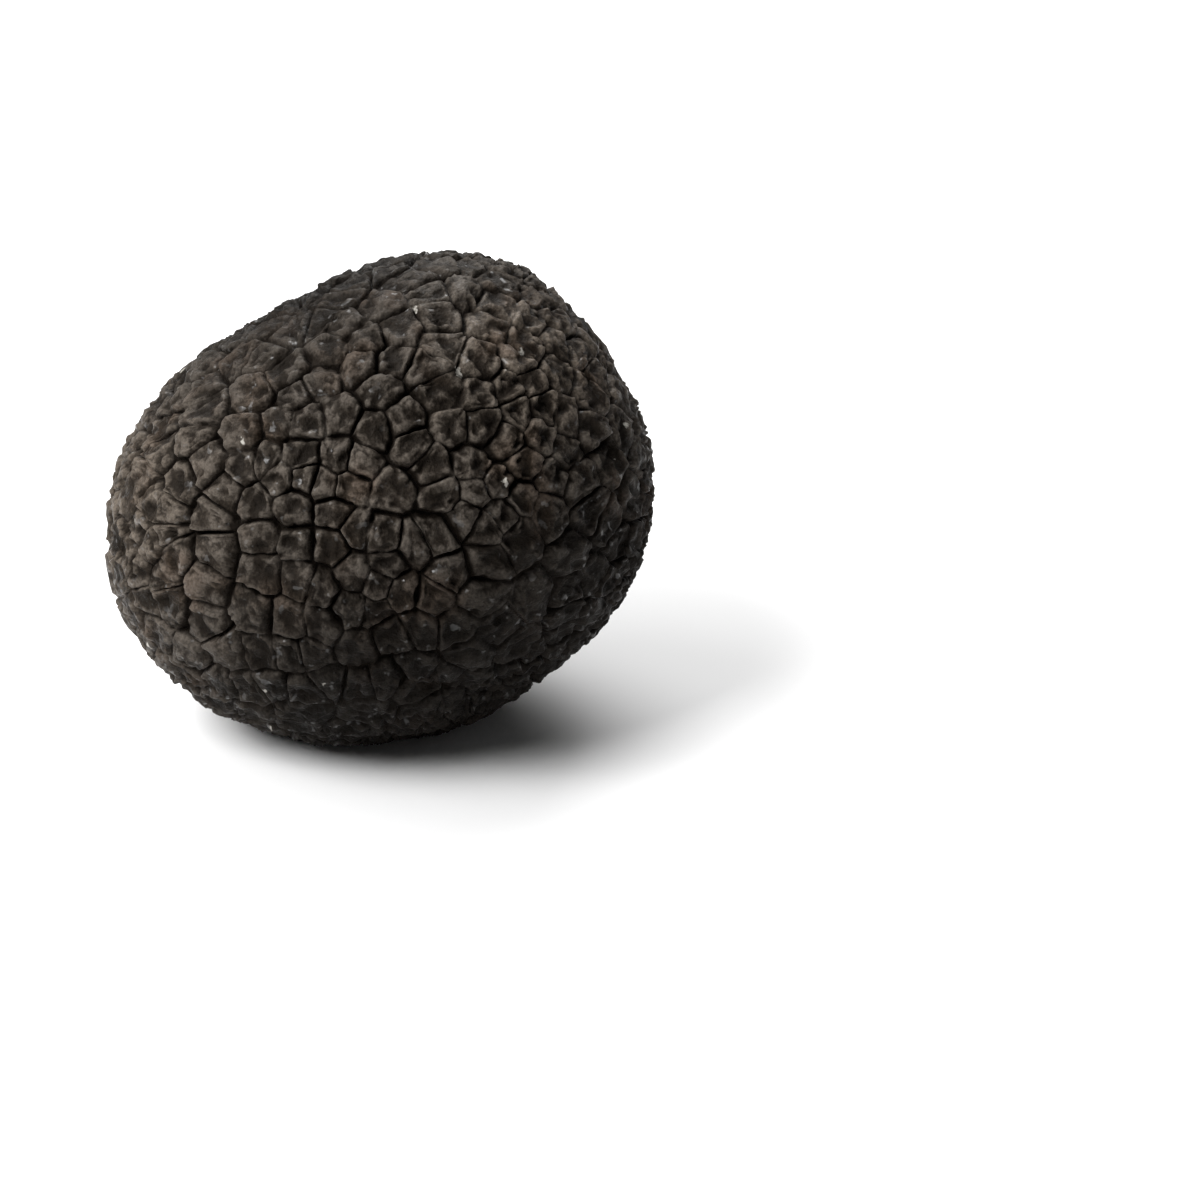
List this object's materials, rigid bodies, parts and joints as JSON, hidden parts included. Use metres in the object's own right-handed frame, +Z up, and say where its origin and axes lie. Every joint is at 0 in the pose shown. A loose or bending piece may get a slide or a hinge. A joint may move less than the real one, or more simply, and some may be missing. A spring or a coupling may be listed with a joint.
{
  "type": "black truffle",
  "caption": "Whole black truffle: a lumpy rounded fruiting body covered in low many-sided warts with narrow grooves between them, resting on a small flat spot.",
  "frame": {"origin": "on the table, under the middle of the truffle's bounding box", "axes": "+Z up from the table, +X along the truffle's greatest width, to the right as the picture shows it, +Y away from the camera"},
  "size_m": [0.0543, 0.0497, 0.0472],
  "materials": {
    "skin": "matte"
  },
  "bodies": {
    "root": {"truffle": "skin"}
  },
  "joints": []
}
